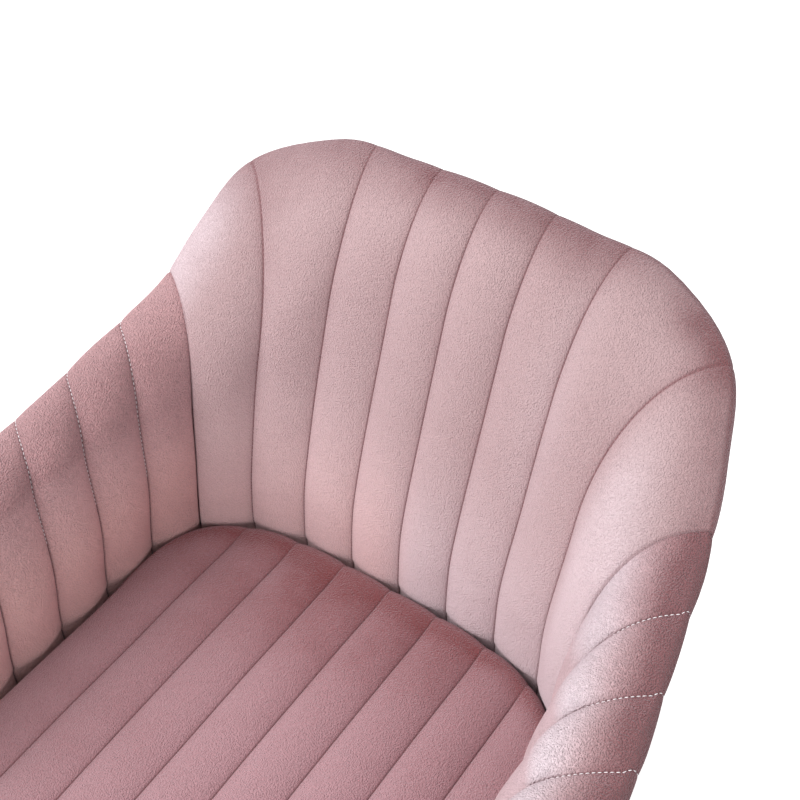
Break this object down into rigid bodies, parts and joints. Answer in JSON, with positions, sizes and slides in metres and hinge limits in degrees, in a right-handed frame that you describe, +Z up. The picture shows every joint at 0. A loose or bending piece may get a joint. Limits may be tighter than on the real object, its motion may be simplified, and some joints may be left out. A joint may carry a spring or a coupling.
{
  "type": "glider nursery chair",
  "caption": "Tub armchair with a channel-quilted back, arms and seat that glides on four swing links above a swivelling turntable on a round floor base.",
  "frame": {"origin": "centre of the round base's underside, on the floor and on the swivel axis", "axes": "+Z up, -Y towards the front of the seat, +X towards the right arm as seen from the front"},
  "size_m": [0.6992, 0.6607, 0.865],
  "materials": {
    "velvet_quilted": "channel-quilted velvet with a soft sheen",
    "velvet_seat": "channel-quilted velvet, darker nap",
    "velvet_outside": "plain velvet pulled tight over thin padding",
    "brushed_gold": "brushed, satin",
    "black_steel": "satin black powder coat",
    "zinc_steel": "zinc plated",
    "nylon": "natural nylon",
    "black_rubber": "matte",
    "black_lining": "non-woven lining",
    "birch": "unfinished plywood and hardwood"
  },
  "bodies": {
    "base": {"floor_pad": "black_rubber", "base_plate": "black_steel", "base_cover": "brushed_gold", "lower_race": "zinc_steel", "kingpin": "zinc_steel", "kingpin_nut": "zinc_steel", "base_bolts": "zinc_steel"},
    "ball_cage": {"ball_cage": "nylon", "bearing_balls": "zinc_steel"},
    "turntable": {"upper_race": "zinc_steel", "turn_plate": "black_steel", "swivel_collar": "brushed_gold", "front_left_hanger": "black_steel", "front_right_hanger": "black_steel", "rear_left_hanger": "black_steel", "rear_right_hanger": "black_steel", "upper_pivot_studs": "zinc_steel", "stop_bumpers": "black_rubber", "hanger_bolts": "zinc_steel"},
    "front_left_link": {"front_left_link": "zinc_steel", "front_left_bushes": "nylon"},
    "front_right_link": {"front_right_link": "zinc_steel", "front_right_bushes": "nylon"},
    "rear_left_link": {"rear_left_link": "zinc_steel", "rear_left_bushes": "nylon"},
    "rear_right_link": {"rear_right_link": "zinc_steel", "rear_right_bushes": "nylon"},
    "seat": {"front_left_drop_bracket": "black_steel", "front_right_drop_bracket": "black_steel", "rear_left_drop_bracket": "black_steel", "rear_right_drop_bracket": "black_steel", "lower_pivot_studs": "zinc_steel", "left_platform_rail": "black_steel", "right_platform_rail": "black_steel", "front_crossbar": "black_steel", "rear_crossbar": "black_steel", "platform_bolts": "zinc_steel", "seat_bolts": "zinc_steel", "dust_cover": "black_lining", "front_rail": "birch", "rear_rail": "birch", "left_side_rail": "birch", "right_side_rail": "birch", "seat_deck": "birch", "back_shell": "birch", "left_arm_shell": "birch", "right_arm_shell": "birch", "seat_cushion": "velvet_seat", "back_pad": "velvet_quilted", "left_arm_pad": "velvet_quilted", "right_arm_pad": "velvet_quilted", "outer_back_panel": "velvet_outside", "left_outer_panel": "velvet_outside", "right_outer_panel": "velvet_outside", "left_arm_nose": "velvet_outside", "right_arm_nose": "velvet_outside", "front_border": "velvet_outside"}
  },
  "joints": [
    {"name": "swivel", "type": "hinge", "parent": "base", "child": "turntable", "pos_m": [0, 0, 0.03], "axis": [0, 0, 1], "continuous": true},
    {"name": "cage_turn", "type": "hinge", "parent": "base", "child": "ball_cage", "pos_m": [0, 0, 0.02], "axis": [0, 0, 1], "continuous": true},
    {"name": "glide", "type": "hinge", "parent": "turntable", "child": "front_left_link", "pos_m": [-0.159, -0.1, 0.245], "axis": [1, 0, 0], "range_deg": [-25, 25]},
    {"name": "front_right_swing", "type": "hinge", "parent": "turntable", "child": "front_right_link", "pos_m": [0.159, -0.1, 0.245], "axis": [1, 0, 0], "range_deg": [-25, 25]},
    {"name": "rear_left_swing", "type": "hinge", "parent": "turntable", "child": "rear_left_link", "pos_m": [-0.159, 0.1, 0.245], "axis": [1, 0, 0], "range_deg": [-25, 25]},
    {"name": "rear_right_swing", "type": "hinge", "parent": "turntable", "child": "rear_right_link", "pos_m": [0.159, 0.1, 0.245], "axis": [1, 0, 0], "range_deg": [-25, 25]},
    {"name": "seat_level", "type": "hinge", "parent": "front_left_link", "child": "seat", "pos_m": [-0.159, -0.1, 0.11], "axis": [1, 0, 0], "range_deg": [-25, 25]}
  ],
  "couplings": [
    {"joint": "cage_turn", "follows": "swivel", "ratio": 0.5},
    {"joint": "front_right_swing", "follows": "glide", "ratio": 1},
    {"joint": "rear_left_swing", "follows": "glide", "ratio": 1},
    {"joint": "rear_right_swing", "follows": "glide", "ratio": 1},
    {"joint": "seat_level", "follows": "glide", "ratio": -1}
  ]
}
